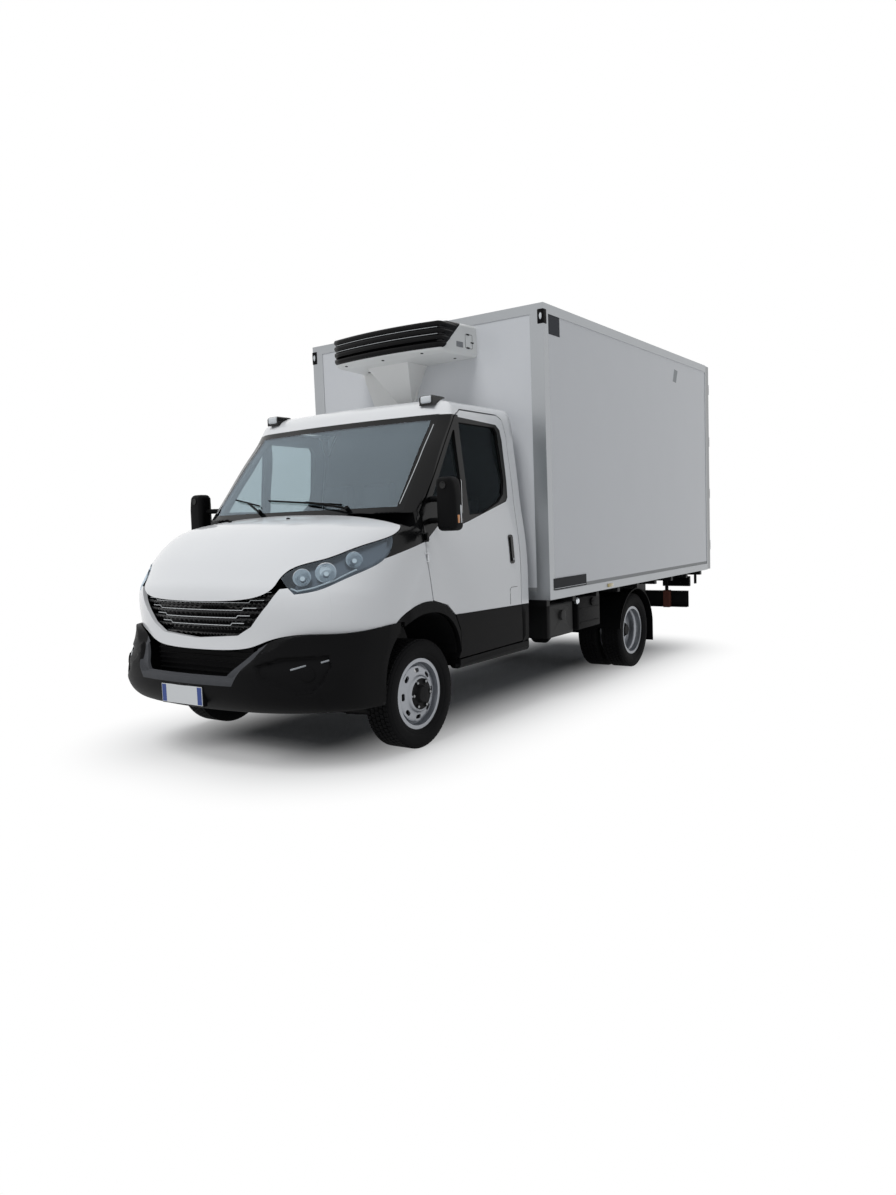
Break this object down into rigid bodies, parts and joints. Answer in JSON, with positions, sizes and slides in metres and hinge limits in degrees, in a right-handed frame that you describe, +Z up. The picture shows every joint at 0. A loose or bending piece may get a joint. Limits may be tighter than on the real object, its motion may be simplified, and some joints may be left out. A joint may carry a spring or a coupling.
{
  "type": "refrigerated box truck",
  "caption": "Light bonneted truck with a twin-wheel rear axle, an insulated box body with two rear doors and a cooling unit over the cab.",
  "frame": {"origin": "on the ground, half way along and across the truck", "axes": "+Z up, the truck faces -Y, its left side is +X"},
  "size_m": [2.432, 6.1803, 2.9479],
  "materials": {
    "cab_paint": "gloss white paint",
    "black_trim": "grained black plastic",
    "gloss_black": "smooth black plastic",
    "white_plastic": "white moulded shell",
    "lamp_lens": "clear lens over reflectors",
    "red_lens": "red and amber lenses",
    "clear_glass": "laminated clear glass",
    "dark_glass": "tinted side glass",
    "panel_white": "white composite panel",
    "profile_alloy": "satin anodised profile",
    "frame_black": "black chassis paint",
    "axle_iron": "painted casting",
    "rim_silver": "silver wheel paint",
    "tyre_rubber": "matt rubber",
    "inner_grey": "dark grey cab plastic",
    "seat_cloth": "woven seat cloth",
    "floor_grey": "grained load floor",
    "steel_bright": "zinc plated steel"
  },
  "bodies": {
    "chassis": {"ladder_frame": "frame_black", "front_suspension": "axle_iron", "rear_axle": "axle_iron", "leaf_springs": "frame_black", "engine_block": "axle_iron", "driveline": "axle_iron", "exhaust": "steel_bright", "side_tanks": "frame_black", "cab_shell": "cab_paint", "front_wings": "cab_paint", "nose_panel": "cab_paint", "front_bumper": "black_trim", "grille": "gloss_black", "headlamps": "lamp_lens", "windscreen": "clear_glass", "cladding": "black_trim", "arch_liners": "black_trim", "dashboard": "inner_grey", "steering_wheel": "inner_grey", "seats": "seat_cloth", "roof_lamps": "gloss_black", "box_floor": "floor_grey", "box_roof": "panel_white", "box_front_wall": "panel_white", "box_sides": "panel_white", "box_rear_frame": "steel_bright", "box_edge_profiles": "profile_alloy", "box_subframe": "frame_black", "cooling_housing": "white_plastic", "cooling_louvres": "gloss_black", "cooling_duct": "white_plastic", "evaporator": "white_plastic", "rear_mudguards": "black_trim", "underrun_bar": "frame_black", "rear_lamps": "red_lens"},
    "knuckle_left": {"knuckle_left": "axle_iron"},
    "wheel_front_left": {"rim_front_left": "rim_silver", "tyre_front_left": "tyre_rubber"},
    "wheel_rear_left": {"rims_rear_left": "rim_silver", "tyres_rear_left": "tyre_rubber"},
    "door_left": {"door_left": "cab_paint", "door_glass_left": "dark_glass", "mirror_left": "black_trim"},
    "box_door_left": {"box_door_left": "panel_white"},
    "knuckle_right": {"knuckle_right": "axle_iron"},
    "wheel_front_right": {"rim_front_right": "rim_silver", "tyre_front_right": "tyre_rubber"},
    "wheel_rear_right": {"rims_rear_right": "rim_silver", "tyres_rear_right": "tyre_rubber"},
    "door_right": {"door_right": "cab_paint", "door_glass_right": "dark_glass", "mirror_right": "black_trim"},
    "box_door_right": {"box_door_right": "panel_white"},
    "bonnet": {"bonnet": "cab_paint"}
  },
  "joints": [
    {"name": "steer_left", "type": "hinge", "parent": "chassis", "child": "knuckle_left", "pos_m": [0.8, -2.028, 0.34], "axis": [0, 0, 1], "range_deg": [-35, 35]},
    {"name": "spin_front_left", "type": "hinge", "parent": "knuckle_left", "child": "wheel_front_left", "pos_m": [0.862, -2.028, 0.34], "axis": [1, 0, 0], "continuous": true},
    {"name": "spin_rear_left", "type": "hinge", "parent": "chassis", "child": "wheel_rear_left", "pos_m": [0.771, 1.272, 0.34], "axis": [1, 0, 0], "continuous": true},
    {"name": "door_swing_left", "type": "hinge", "parent": "chassis", "child": "door_left", "pos_m": [1.004, -1.97, 1.2], "axis": [0, 0, -1], "range_deg": [0, 65]},
    {"name": "box_door_swing_left", "type": "hinge", "parent": "chassis", "child": "box_door_left", "pos_m": [1.11, 3.072, 1.9], "axis": [0, 0, -1], "range_deg": [0, 255]},
    {"name": "steer_right", "type": "hinge", "parent": "chassis", "child": "knuckle_right", "pos_m": [-0.8, -2.028, 0.34], "axis": [0, 0, 1], "range_deg": [-35, 35]},
    {"name": "spin_front_right", "type": "hinge", "parent": "knuckle_right", "child": "wheel_front_right", "pos_m": [-0.862, -2.028, 0.34], "axis": [1, 0, 0], "continuous": true},
    {"name": "spin_rear_right", "type": "hinge", "parent": "chassis", "child": "wheel_rear_right", "pos_m": [-0.771, 1.272, 0.34], "axis": [1, 0, 0], "continuous": true},
    {"name": "door_swing_right", "type": "hinge", "parent": "chassis", "child": "door_right", "pos_m": [-1.004, -1.97, 1.2], "axis": [0, 0, 1], "range_deg": [0, 65]},
    {"name": "box_door_swing_right", "type": "hinge", "parent": "chassis", "child": "box_door_right", "pos_m": [-1.11, 3.072, 1.9], "axis": [0, 0, 1], "range_deg": [0, 255]},
    {"name": "bonnet_lift", "type": "hinge", "parent": "chassis", "child": "bonnet", "pos_m": [0, -2.164, 1.46], "axis": [-1, 0, 0], "range_deg": [0, 60]}
  ],
  "couplings": [
    {"joint": "steer_right", "follows": "steer_left", "ratio": 1}
  ]
}
